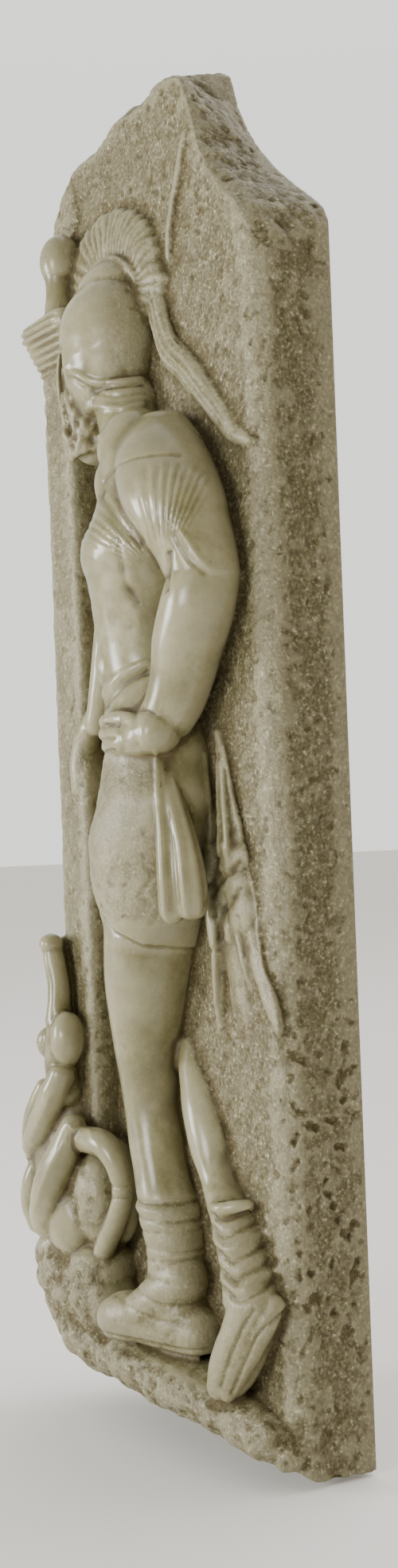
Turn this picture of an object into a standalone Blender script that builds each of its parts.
"""Relief wall plaque: one thick stone slab with a broken top, carved in high relief with a helmeted
warrior beside a flat pillar. The whole is one piece of stone, so it is one node. The front faces -Y, the
flat back lies on Y = 0 and the origin is the middle of the back, where the plaque is fixed."""

import math

import bmesh
import bpy
import numpy as np
from mathutils import Matrix, Vector

NAME = "relief_plaque"

SLAB_WIDTH = 0.185        # left edge to right edge
SLAB_THICKNESS = 0.040    # flat back to the ground of the relief
SLAB_TOP = 0.318          # height of the top edge above the origin
SLAB_BOTTOM = -0.303      # height of the bottom edge
CORNER_DROP = 0.016       # how far the bottom right corner hangs lower
BREAK_BACK_DROP = 0.089   # how far the missing top right corner drops at the back edge
BREAK_FRONT_DROP = 0.103  # how far it drops at the front edge
EDGE_ROUND = 0.007        # worn round of the long edges
FIGURE_HEIGHT = 0.505     # crown of the helmet to the sole of the standing foot
BASE_LINE = -0.274        # height of that sole
PILLAR_HALF = 0.0155      # half the width of the pillar at the left edge
PILLAR_OUT = 0.015        # how far the pillar stands out from the ground
VOXEL = 0.0022            # grain of the fused surface
TRIANGLES = 9300          # what the fused surface is thinned to

UNIT = FIGURE_HEIGHT / 505.0
SEGMENTS = 20


def clear():
    for item in list(bpy.data.objects):
        bpy.data.objects.remove(item, do_unlink=True)


def collection(name):
    made = bpy.data.collections.new(name)
    bpy.context.scene.collection.children.link(made)
    return made


def place(x, out, z):
    """A point of the relief: x from the middle, out from the ground, z from the foot line, in units."""
    return Vector((x * UNIT, -SLAB_THICKNESS - out * UNIT, BASE_LINE + (z + 274.0) * UNIT))


def add_rings(bm, rings, start, end):
    """A closed loft through rings of equal length, closed by a point at either end."""
    loops = [[bm.verts.new(p) for p in ring] for ring in rings]
    count = len(loops[0])
    for lower, upper in zip(loops, loops[1:]):
        for i in range(count):
            j = (i + 1) % count
            bm.faces.new((lower[i], lower[j], upper[j], upper[i]))
    first = bm.verts.new(start)
    last = bm.verts.new(end)
    for i in range(count):
        j = (i + 1) % count
        bm.faces.new((first, loops[0][j], loops[0][i]))
        bm.faces.new((last, loops[-1][i], loops[-1][j]))


def add_stack(bm, rows, square=2.0):
    """A body lofted through level ellipses. Each row is x, out, z, half width, half depth. Square above 2
    turns the ellipse towards a rectangle."""
    rows = sorted(rows, key=lambda row: row[2])
    rings = []
    for x, out, z, wide, deep in rows:
        centre = place(x, out, z)
        ring = []
        for i in range(SEGMENTS):
            angle = 2 * math.pi * (i + 0.5) / SEGMENTS
            c, s = math.cos(angle), math.sin(angle)
            across = wide * UNIT * math.copysign(abs(c) ** (2 / square), c)
            deeper = deep * UNIT * math.copysign(abs(s) ** (2 / square), s)
            ring.append(centre + Vector((across, deeper, 0)))
        rings.append(ring)
    low, high = rows[0], rows[-1]
    start = place(low[0], low[1], low[2] - 0.25 * low[4])
    end = place(high[0], high[1], high[2] + 0.25 * high[4])
    add_rings(bm, rings, start, end)


def add_limb(bm, rows, flat=1.0):
    """A limb along a path. Each row is x, out, z, radius; flat is the share of the radius kept
    towards the viewer."""
    points = [place(*row[:3]) for row in rows]
    rings = []
    for i, row in enumerate(rows):
        ahead = points[min(i + 1, len(rows) - 1)] - points[max(i - 1, 0)]
        along = ahead.normalized()
        side = along.cross(Vector((0, -1, 0))).normalized()
        front = side.cross(along).normalized()
        radius = row[3] * UNIT
        ring = []
        for k in range(12):
            angle = 2 * math.pi * k / 12
            ring.append(points[i] + side * radius * math.cos(angle) + front * radius * flat * math.sin(angle))
        rings.append(ring)
    first = (points[1] - points[0]).normalized()
    last = (points[-1] - points[-2]).normalized()
    start = points[0] - first * rows[0][3] * UNIT * 0.6
    end = points[-1] + last * rows[-1][3] * UNIT * 0.6
    add_rings(bm, rings, start, end)


def add_ball(bm, x, out, z, wide, deep, high, tilt=0.0):
    """An ellipsoid, tilted about the axis that points at the viewer."""
    centre = place(x, out, z)
    turn = Matrix.Rotation(math.radians(tilt), 4, "Y")
    size = Matrix.Diagonal((wide * UNIT, deep * UNIT, high * UNIT, 1))
    bmesh.ops.create_uvsphere(bm, u_segments=20, v_segments=12, radius=1.0,
                              matrix=Matrix.Translation(centre) @ turn @ size)


def backed(bm, rows):
    """A limb in front of the ground and the stone left standing behind it, down to the ground."""
    layers = 1 + int(max(row[1] / row[3] for row in rows) / 1.2)
    for layer in range(layers):
        share = 1 - layer / layers
        add_limb(bm, [(row[0] + 0.1 * row[1] * (1 - share), row[1] * share, row[2],
                      row[3]) for row in rows])


def between(points, share):
    """The value of a broken line of (place, value) at a place."""
    for (a, low), (b, high) in zip(points, points[1:]):
        if share <= b:
            return low + (high - low) * (share - a) / (b - a)
    return points[-1][1]


FRONT_LINE = [(-1.0, -20), (-0.95, -17), (-0.84, -9), (-0.58, -9.5), (-0.41, -6.5), (-0.32, -3),
              (-0.24, -2.5), (-0.1, -5),
              (0.1, -1.5), (0.29, -2), (0.4, -5)]
FRONT_BREAK = [(0.4, 0.0), (0.47, 0.13), (0.53, 0.31), (0.62, 0.46), (0.73, 0.59), (0.85, 0.7),
               (0.93, 0.82), (1.0, 1.0)]
BACK_LINE = [(-1.0, -18), (-0.84, -7), (-0.54, -4), (-0.26, 2), (-0.13, 9), (-0.02, 13), (0.09, 10),
             (0.17, 4.7)]
BACK_BREAK = [(0.17, 0.0), (0.24, 0.18), (0.31, 0.31), (0.39, 0.43), (0.55, 0.61), (0.73, 0.77),
              (0.89, 0.89), (1.0, 1.0)]


def top_line(share, front):
    """Height of the broken top edge at a share of the width, at the front or the back of the slab."""
    x = share * 2 - 1
    line, fall, drop = BACK_LINE, BACK_BREAK, BREAK_BACK_DROP
    if front:
        line, fall, drop = FRONT_LINE, FRONT_BREAK, BREAK_FRONT_DROP
    height = SLAB_TOP + between(line, x) * 0.001
    if x > fall[0][0]:
        height -= drop * between(fall, x)
    return height


def bottom_line(share):
    """Height of the bottom edge: cut away at the left, level, then lower at the right corner."""
    x = share * 2 - 1
    wave = sum(math.sin(share * step * 9.7 + 2.1 * step) / step for step in range(1, 6))
    height = SLAB_BOTTOM + wave * 0.03 * SLAB_THICKNESS
    height += 0.036 * max(0.0, (-x - 0.72) / 0.28) ** 1.3
    return height - CORNER_DROP * max(0.0, (x - 0.55) / 0.45) ** 1.2


def add_slab(bm):
    """The slab, lofted from its left edge to its right edge through upright sections."""
    count = 44
    rings = []
    behind = 0.003
    lip = 0.2 * SLAB_THICKNESS
    for i in range(count + 1):
        share = i / count
        x = (share - 0.5) * SLAB_WIDTH
        near = (1 - share) * SLAB_WIDTH
        inset = EDGE_ROUND * max(0.0, 1 - near / (1.6 * EDGE_ROUND)) ** 2
        near = share * SLAB_WIDTH
        inset += 0.4 * EDGE_ROUND * max(0.0, 1 - near / (0.6 * EDGE_ROUND)) ** 2
        front = -SLAB_THICKNESS + inset
        top_front, top_back = top_line(share, True), top_line(share, False)
        low = bottom_line(share)
        rings.append([
            Vector((x, front, low + lip)),
            Vector((x, front + lip, low)),
            Vector((x, behind, low)),
            Vector((x, behind, top_back)),
            Vector((x, 0.35 * front, 0.35 * top_front + 0.65 * top_back)),
            Vector((x, 0.72 * front, 0.72 * top_front + 0.28 * top_back - 0.1 * lip)),
            Vector((x, front + 0.1 * lip, top_front - 0.35 * lip)),
            Vector((x, front, top_front - lip)),
        ])
    loops = [[bm.verts.new(p) for p in ring] for ring in rings]
    sides = len(loops[0])
    for lower, upper in zip(loops, loops[1:]):
        for i in range(sides):
            j = (i + 1) % sides
            bm.faces.new((lower[j], lower[i], upper[i], upper[j]))
    bm.faces.new(loops[0])
    bm.faces.new(list(reversed(loops[-1])))


def add_ledge(bm):
    """The rough ledge under the feet and the rock at the lower left."""
    add_limb(bm, [(-74, 4, -282, 17), (-50, 2, -288, 15), (-20, 2, -289, 15), (20, 2, -291, 14),
                  (50, 0, -294, 12), (74, -3, -299, 11), (88, -5, -305, 9)], flat=1.7)
    for x, out, z, size in ((-97, 16, -247, 15), (-88, 14, -256, 19), (-85, 13, -268, 18),
                            (-76, 12, -278, 18),
                            (-62, 11, -286, 17), (-64, 12, -254, 18), (-62, 14, -268, 19),
                            (-48, 8, -276, 18)):
        add_ball(bm, x, out, z, size, size, size * 0.95)
        add_ball(bm, x + 2, out * 0.3, z, size, size, size * 0.95)
    add_ball(bm, -46, 5, -255, 18, 13, 17)


def add_pilaster(bm):
    """The flat pillar at the left edge, its capital of flaring mouldings, and the ball on its neck."""
    axis = -SLAB_WIDTH / 2 / UNIT + PILLAR_HALF / UNIT
    half, deep = PILLAR_HALF / UNIT, PILLAR_OUT / UNIT
    add_stack(bm, [(axis + 0.5, 0, -235, half - 1, deep), (axis + 1, 0, -100, half, deep),
                   (axis + 1.5, 0, 60, half, deep), (axis, 0, 206, half - 1, deep)], square=7)
    steps, low, rise, grow = 5, 203.0, 4.6, 1.9
    for step in range(steps):
        z = low + step * rise
        size = 0.4 + grow * step
        add_stack(bm, [(axis - 1.2, 0, z, half + 0.9 * size - 0.8, deep + 0.75 * size - 0.8),
                       (axis - 1.2, 0, z + rise * 0.7, half + 0.9 * size, deep + 0.75 * size),
                       (axis - 1.2, 0, z + rise, half + 0.9 * size - 0.6, deep + 0.75 * size - 0.6)],
                       square=7)
    add_stack(bm, [(axis + 2, 7, 226, 14, 13), (axis + 2, 8, 231, 11, 10.5), (axis + 2.4, 9, 236, 9, 9),
                   (axis + 2.4, 9, 242, 8.3, 8.3), (axis + 2.4, 9, 248, 8.4, 8.4)])
    add_ball(bm, axis + 2.5, 9, 258, 11, 11, 14)
    add_ball(bm, axis + 2.5, 2, 250, 8, 9, 18)


def add_helmet(bm):
    """The close dome, its lower rim and neck guard, and the cheek guard and beard below the rim."""
    add_ball(bm, -23, 8, 207, 28, 25, 27)
    add_stack(bm, [(-26, 7, 170, 20, 17), (-25, 7.5, 180, 24, 21), (-24, 8, 188, 26.5, 22.6),
                   (-23, 8.5, 199, 28, 24.4)])
    add_stack(bm, [(-17, 8, 165, 21, 19.6), (-18, 8, 170, 22.4, 21.4), (-20, 8, 174, 22.5, 21.5)])
    add_ball(bm, -26, 5, 232, 20, 10, 11)
    add_limb(bm, [(-54, 12, 196, 2.4), (-44, 22, 193, 2.6), (-31, 29, 190, 2.6), (-14, 29, 187, 2.6),
                  (-1, 21, 187, 2.6)])
    add_ball(bm, -36, 9, 178, 19, 16, 20, 18)
    add_ball(bm, -55, 9, 183, 4.0, 5, 8, 24)
    add_ball(bm, -47, 9, 168, 13, 13, 13, 20)
    for row in range(4):
        for col in range(4):
            add_ball(bm, -56 + 7 * col + 2.2 * row, 17 + 1.8 * col + 0.6 * row, 161 + 6.5 * row + 1.2 * col,
                     4.2, 6.0, 4.6, 30)
    add_stack(bm, [(-2, 7, 147, 22, 19), (-11, 7, 159, 19, 18), (-18, 7, 170, 18, 18),
                   (-22, 7, 180, 18, 17)])


def add_crest(bm):
    """The fan of the crest in strands, the arch it stands on, and the tail that falls behind."""
    hub_x, hub_z = -25.0, 226.0
    plate = [(hub_x + 34 * math.cos(math.radians(a)), 0.0, hub_z + 29 * math.sin(math.radians(a)), 14)
             for a in range(200, -30, -20)]
    add_limb(bm, plate, flat=0.42)
    strands = 24
    for i in range(strands):
        angle = math.radians(203 - 224 * i / (strands - 1))
        rows = []
        for step, radius, out in ((0.0, 2.2, 4.6), (0.5, 3.2, 5.0), (1.0, 3.4, 2.0)):
            wide = 21 + (46 - 21) * step
            high = 14 + (42 - 14) * step
            rows.append((hub_x + wide * math.cos(angle), out, hub_z + high * math.sin(angle), radius))
        add_limb(bm, rows)
    add_limb(bm, [(-51.5, 7, 232, 3), (-50, 9, 237, 3), (-44, 10, 240.6, 3), (-32.6, 10.4, 243, 3),
                  (-19.8, 10.4, 242.6, 3),
                  (-10, 9.6, 240, 3), (-3.6, 9, 234, 3), (0, 7.6, 228, 3)])
    spine = [(2, 228), (8.5, 219), (12.6, 211), (15.6, 201), (22.3, 188.6), (37, 176.3), (52.5, 160.8),
             (65.4, 147.6),
             (73.5, 139), (84, 132)]
    last = len(spine) - 1
    for strand in range(3):
        rows = []
        for i, (x, z) in enumerate(spine):
            ahead = Vector(spine[min(i + 1, last)]) - Vector(spine[max(i - 1, 0)])
            side = Vector((-ahead.y, ahead.x)).normalized()
            gap = (strand - 1) * 3.6 * (1.0 if i < last - 1 else 0.35)
            rows.append((x + side.x * gap, 2.6 + (strand == 1) * 1.0, z + side.y * gap,
                        3.0 if i < last else 1.6))
        add_limb(bm, rows)
    add_limb(bm, [(36, 0.6, 270.8, 1.8), (30, 0.6, 258.5, 1.9), (25, 0.6, 245.8, 2.0),
                  (19.5, 0.6, 234, 2.2)])


def add_torso(bm):
    """The trunk, the chest, the root of the shoulder, and the far arm whose hand holds a round bar."""
    add_stack(bm, [(9, 9.6, 8, 27, 24), (9, 9.6, 21, 26.5, 24), (6, 9.3, 38.6, 25.5, 23.2),
                   (6, 9.7, 53, 26.8, 24.4), (8.7, 10.6, 68.4, 29, 26.5), (13, 11.6, 82, 32, 29),
                   (14.2, 12.6, 92.3, 34.7, 31.6), (15.3, 12.5, 101.3, 34, 31),
                   (18.4, 11, 115.5, 30.5, 27.7),
                   (18.4, 10, 130.3, 27.7, 25.2), (17, 9.4, 140, 25.8, 23), (15, 8.5, 149, 19, 17)])
    add_ball(bm, -3, 20, 99, 18, 18, 17, -8)
    add_ball(bm, 8, 28, 96, 14, 12, 13, 5)
    add_ball(bm, -2, 20, 46, 12, 14, 16)
    add_ball(bm, 3, 17, 146, 17, 13, 15)
    backed(bm, [(-12, 8, 126, 11), (-26, 8, 100, 10), (-37, 7, 72, 8.5), (-46, 8, 42, 7.5),
                (-54, 9, 22, 6)])
    backed(bm, [(-56.5, 9, 26, 5), (-62, 10, 17, 6), (-68, 10, 6, 7.2), (-69, 10, -5, 7),
                (-69.5, 9.5, -15, 6), (-69, 9, -24, 4.6)])
    backed(bm, [(-70.8, 8, -24, 4.8), (-68.5, 8, -53.2, 5.2), (-66.5, 8, -93.5, 5.4),
                (-65.5, 8, -133.7, 5.6), (-65, 8, -177, 5.6)])


def add_arm(bm):
    """The near arm: rounded shoulder, upper arm, bent elbow,
thick forearm and the closed hand on the hip."""
    add_stack(bm, [(65, 14.6, 77, 18, 16.2), (61, 16, 89, 20, 18.2), (55.5, 19, 102.7, 23.4, 21.3),
                   (49.3, 20, 115.4, 26.9, 22.4), (40, 18.6, 132.8, 25, 20.7),
                   (34.8, 16, 144.3, 20.4, 16.5),
                   (29.8, 12.9, 153, 14, 11.5)])
    add_ball(bm, 12.5, 21.5, 127, 16.5, 16, 17)
    add_ball(bm, 24, 21, 128, 23, 18.5, 21)
    backed(bm, [(66, 14.5, 78, 16), (64, 17, 66, 16.6), (54, 17, 50, 16.2), (47, 16.5, 36, 14.6),
                  (40, 18, 23, 13.2), (31, 21, 14, 12.0), (24, 24.5, 10, 11)])
    backed(bm, [(36.9, 25, 11.5, 11.2), (27, 27, 9.4, 11), (19, 28, 9, 10.6), (15, 28.6, 9, 10)])
    for i in range(4):
        x = 7.8 if i == 0 else 6.2 + 1.6 * (i - 1) ** 1.3
        z = 18.0 - 5.4 * i
        add_limb(bm, [(x + 13, 33.5 - 0.8 * i, z + 0.4, 3.8), (x + 3, 34.5 - 0.6 * i, z, 3.6),
                      (x - 2.0, 31 - 0.6 * i, z - 0.6, 3.4), (x - 1.5, 26 - 0.6 * i, z - 1.0, 3.2)])
    add_limb(bm, [(43, 31.5, 17.2, 4.4), (31.6, 33.5, 18.6, 4.0), (19, 34, 20.4, 3.6),
                  (11, 32.5, 20.6, 3.2)])


def add_skirt(bm):
    """The short smooth garment with its hem,
and the cloth end that hangs over its near side in two rolls."""
    add_stack(bm, [(3.4, 10.6, -88, 27.0, 25.4), (4.1, 10.4, -75.7, 28.6, 26),
                   (5.4, 11.4, -64.4, 31.2, 28.3),
                   (7.2, 11.9, -54, 32.4, 29.4), (10.9, 12.4, -35, 34, 30.8),
                   (14.7, 11.9, -20.8, 32.6, 29.6),
                   (14.6, 11.2, -7.2, 30.6, 27.8), (14.4, 10.8, 3.8, 29.4, 26.7), (12, 10, 16, 26, 23.5)])
    add_limb(bm, [(37.4, 25, -1.5, 2.8), (40.6, 25.5, -17.6, 3.4), (42.9, 25.6, -35.2, 4.4),
                  (43.5, 25, -52.8, 5.4),
                  (42.5, 24, -65.5, 5.6)])
    add_limb(bm, [(37.2, 21.5, -3.2, 3.0), (43.3, 21.5, -19.5, 4.4), (48.6, 20.5, -35.5, 6.0),
                  (50.9, 19.5, -51.3, 7.4),
                  (50.8, 18.5, -62.5, 7.6)])


def add_cloth(bm):
    """The sash that hangs behind the figure in low relief: gathered folds, a knot, and loose ends."""
    add_limb(bm, [(39, 1, 2, 2.2), (41, 1.5, -15.7, 2.8), (44, 2, -29.5, 3.4), (43.6, 2.5, -40, 3.8)])
    add_limb(bm, [(51.1, 0.6, 8.4, 2.4), (53.8, 1.2, -4.2, 3.4), (56.3, 1.8, -18.5, 4.6),
                  (58.9, 2.2, -31.0, 5.8), (59.8, 2.8, -40.5, 6.6)])
    for x, out, z, wide, high, tilt in ((45.4, 2, -48.4, 7.4, 8.6, 18), (60.4, 2, -46, 8.8, 7.2, -14),
                                        (62, 1.6, -58, 8.8, 8.2, 24),
                                        (65.6, 1.2, -71.5, 7.8, 10.2, 16), (46, 1.6, -68, 7.2, 10, 4),
                                        (53.5, 1, -57, 9, 8, 34)):
        add_ball(bm, x, out, z, wide, 6.0, high, tilt)
    add_limb(bm, [(45.0, 2, -61.0, 5.4), (45.6, 2.2, -71.7, 5.8), (45.2, 1.8, -84.3, 5.0),
                  (44, 1.4, -96.9, 4.6), (42.6, 1, -111.4, 3.6),
                  (40.4, 0, -123.2, 1.8)])
    add_limb(bm, [(60.3, 1.8, -51.1, 5.2), (62.7, 1.8, -64.5, 5.6), (64.8, 1.2, -78, 5.0),
                  (66.4, 0.6, -91, 4.0), (69, 0, -103, 2.6)])
    add_limb(bm, [(72.6, 0.4, -84, 3), (77.0, 0.4, -97.3, 3.4), (82.7, 0.2, -107.7, 3.2),
                  (88.4, -0.4, -118.5, 2)])


def add_legs(bm):
    """The standing leg and the leg that trails behind in lower relief, each in its soft wrapped boot."""
    add_stack(bm, [(8.4, 8.7, -249, 16, 14.6), (8.6, 8.7, -238, 15.2, 14), (7, 8.7, -224, 15, 14.4),
                   (4.6, 9, -213, 16.6, 16), (1.6, 8.8, -204, 15.9, 15.4), (-2.4, 8.6, -194, 14.8, 14.4),
                   (-6.5, 8.7, -180.6, 14.6, 14.2), (-10.0, 8.5, -165, 14.6, 14.2),
                   (-11.0, 8.9, -150, 15.4, 15.2),
                   (-10, 9.8, -134.5, 17.4, 17), (-5.4, 11, -112, 21, 20.6),
                   (-2.4, 11.3, -98, 23.4, 22.6), (1.4, 11, -84, 25.6, 24.2)])
    add_ball(bm, -12, 15, -147, 9, 9, 12)
    add_limb(bm, [(-9, 11, -205, 3.2), (4, 24.0, -205, 2.4), (20, 19, -205, 3.2)])
    add_limb(bm, [(15.9, 12, -236, 12), (7.5, 14, -247, 12), (-5, 18, -258, 11), (-17, 20, -264, 10)])
    add_limb(bm, [(24, 6, -264, 12), (14, 9, -262, 13.5), (0, 14, -262, 13.4), (-14, 19, -262.5, 12.6),
                  (-24, 21.5, -264, 12.2),
                  (-28.5, 22.5, -265.5, 10.8)])
    add_stack(bm, [(8.9, -9, -132, 12, 12), (12, -8, -140, 13.2, 13.2), (18.2, -5.6, -150, 13.6, 13.6),
                   (24.0, -3, -160, 13.8, 13.8),
                   (29.0, -1.6, -170.7, 13.6, 13.6), (33.2, -1, -181, 13, 13),
                   (40.0, -0.6, -190, 12.6, 12.6),
                   (47.6, 1.6, -197, 12.6, 12.6), (54.6, 3.4, -206, 12.6, 12.4),
                   (59.6, 4.6, -214, 12.8, 12.4),
                   (64, 5, -223, 13, 12.6), (67.5, 5.4, -233, 13.6, 13), (69.5, 6, -241, 13.6, 13)])
    add_limb(bm, [(73, 6.5, -240, 12.5), (69.4, 8, -251, 12.2), (63.6, 9.6, -262.6, 11.8),
                  (57.4, 11, -272.6, 11), (51.6, 11.4, -280.5, 8.6)])
    add_limb(bm, [(82, 6, -238, 4.2), (79, 9.5, -249, 4.6), (72, 12, -261, 4.4),
                  (65.5, 13.6, -272, 4.2), (58.5, 14.5, -282, 3.6)])
    add_limb(bm, [(45, 9.5, -202, 3), (54, 12.5, -200, 3), (62, 9, -199, 3.2)])
    for i in range(4):
        add_limb(bm, [(50 + 4.2 * i, 13.5, -214 - 8 * i, 1.6), (61 + 3.6 * i, 15.4, -208 - 8 * i, 1.8),
                      (70 + 2.8 * i, 9, -205 - 8 * i, 1.6)])


def add_crouching_group(bm):
    """The crouched form at the lower left, in front of the pillar: staff with its knob, clasped hands, two
    folded limbs with a thinner one behind each, and an arm round a rough oval stone."""
    backed(bm, [(-80.5, 23, -87.5, 4.8), (-78.5, 23, -94.8, 5.4), (-76.3, 22, -106.8, 5.4),
                (-76, 22, -117.6, 6), (-76.5, 22, -126, 7.4)])
    add_ball(bm, -68.5, 23, -134.8, 8.4, 8.8, 14.0, 4)
    add_ball(bm, -83.5, 24, -137.5, 7, 7.4, 8.6, 10)
    backed(bm, [(-76, 22, -134, 9), (-76, 22, -142, 9), (-79, 22, -151.4, 8.4), (-78, 22, -160, 8)])
    add_ball(bm, -84, 9, -196, 18, 17, 44)
    add_ball(bm, -92, 17, -196, 13, 12, 34)
    backed(bm, [(-71.5, 24, -153.0, 6.4), (-77.5, 26, -163.8, 7.0), (-87.2, 27, -177.8, 7.2),
                (-96, 27, -187, 6.8), (-101, 27, -192.2, 6)])
    backed(bm, [(-94.3, 25, -163.5, 3.4), (-103, 27.4, -175.8, 4.8), (-106, 27.4, -188.9, 5),
                (-105, 27, -197.1, 4.4)])
    backed(bm, [(-62.4, 23, -178.1, 5.6), (-69.1, 26, -191.6, 7.4), (-78.4, 28, -208.8, 8.8),
                (-84.4, 28, -222.0, 8.8), (-86, 28, -228, 7.6)])
    backed(bm, [(-98.9, 26, -199, 4.2), (-104, 28, -211.1, 5.6), (-106, 28, -222.2, 5.8),
                (-101.7, 27.4, -230.3, 5.4)])
    backed(bm, [(-64.8, 21, -184.4, 6), (-52.3, 21, -185.4, 6.4), (-40.7, 20, -187.1, 6.4),
                (-33.3, 18.5, -193, 5.8),
                (-31.5, 17, -200.9, 5.2), (-33.6, 16, -210.1, 5.0), (-38.8, 16, -219.7, 5.0),
                (-47.8, 16.5, -230.2, 5),
                (-54.3, 17, -238.8, 4.8)])
    add_ball(bm, -66.5, 13, -217.5, 12.5, 11, 22.5, 4)
    add_ball(bm, -54, 4, -212, 22, 12, 28)


def sculpt():
    bm = bmesh.new()
    add_slab(bm)
    add_ledge(bm)
    add_pilaster(bm)
    add_helmet(bm)
    add_crest(bm)
    add_torso(bm)
    add_arm(bm)
    add_skirt(bm)
    add_cloth(bm)
    add_legs(bm)
    add_crouching_group(bm)
    bmesh.ops.recalc_face_normals(bm, faces=bm.faces)
    mesh = bpy.data.meshes.new(NAME)
    bm.to_mesh(mesh)
    bm.free()
    return bpy.data.objects.new(NAME, mesh)


def back_cutter():
    """A block behind the wall plane that leaves the back exactly flat."""
    bm = bmesh.new()
    size = Matrix.Diagonal((SLAB_WIDTH * 2, 0.04, 1.0, 1))
    bmesh.ops.create_cube(bm, size=1.0, matrix=Matrix.Translation((0, 0.02, 0)) @ size)
    mesh = bpy.data.meshes.new("back_cutter")
    bm.to_mesh(mesh)
    bm.free()
    cutter = bpy.data.objects.new("back_cutter", mesh)
    cutter.hide_render = True
    cutter.display_type = "WIRE"
    return cutter


def stone():
    material = bpy.data.materials.new("carved_stone")
    material.use_nodes = True
    shader = material.node_tree.nodes["Principled BSDF"]
    shader.inputs["Base Color"].default_value = (0.36, 0.35, 0.26, 1)
    shader.inputs["Roughness"].default_value = 0.45
    return material


def evaluated_mesh(plaque):
    depsgraph = bpy.context.evaluated_depsgraph_get()
    return plaque.evaluated_get(depsgraph).data


def pinches(mesh):
    """Places where the skin touches itself: pairs of vertices that more than two triangles share."""
    mesh.calc_loop_triangles()
    corners = np.empty(3 * len(mesh.loop_triangles), np.int32)
    mesh.loop_triangles.foreach_get("vertices", corners)
    corners = corners.reshape(-1, 3)
    sides = np.sort(np.concatenate([corners[:, [0, 1]], corners[:, [1, 2]], corners[:, [2, 0]]]), axis=1)
    pairs, shared = np.unique(sides, axis=0, return_counts=True)
    return [(mesh.vertices[int(a)].co + mesh.vertices[int(b)].co) / 2 for a, b in pairs[shared != 2]]


def fill(plaque, places, radius):
    """Puts a small ball of stone at each of these places."""
    bm = bmesh.new()
    bm.from_mesh(plaque.data)
    for point in places:
        bmesh.ops.create_icosphere(bm, subdivisions=2, radius=radius, matrix=Matrix.Translation(point))
    bm.to_mesh(plaque.data)
    bm.free()
    plaque.data.update()


def finish(plaque, cutter):
    """Fuses the forms into one skin, softens it, thins it and cuts the back flat. Where the thinned skin
    would touch itself, as at a pinhole between two forms, the place is filled and it is fused again."""
    fuse = plaque.modifiers.new("fuse", "REMESH")
    fuse.mode = "VOXEL"
    fuse.voxel_size = VOXEL
    fuse.adaptivity = 0.0
    soften = plaque.modifiers.new("soften", "SMOOTH")
    soften.factor = 0.5
    soften.iterations = 2
    thin = plaque.modifiers.new("thin", "DECIMATE")
    for _ in range(6):
        thin.ratio = 1.0
        fused = evaluated_mesh(plaque)
        thin.ratio = min(1.0, TRIANGLES / sum(len(face.vertices) - 2 for face in fused.polygons))
        places = pinches(evaluated_mesh(plaque))
        if not places:
            break
        fill(plaque, places, 1.8 * VOXEL)
    flatten = plaque.modifiers.new("flatten", "BOOLEAN")
    flatten.operation = "DIFFERENCE"
    flatten.solver = "EXACT"
    flatten.object = cutter


clear()
parts = collection(NAME)
cutters = collection("cutters")
plaque = sculpt()
plaque.data.materials.append(stone())
parts.objects.link(plaque)
cutter = back_cutter()
cutters.objects.link(cutter)
finish(plaque, cutter)
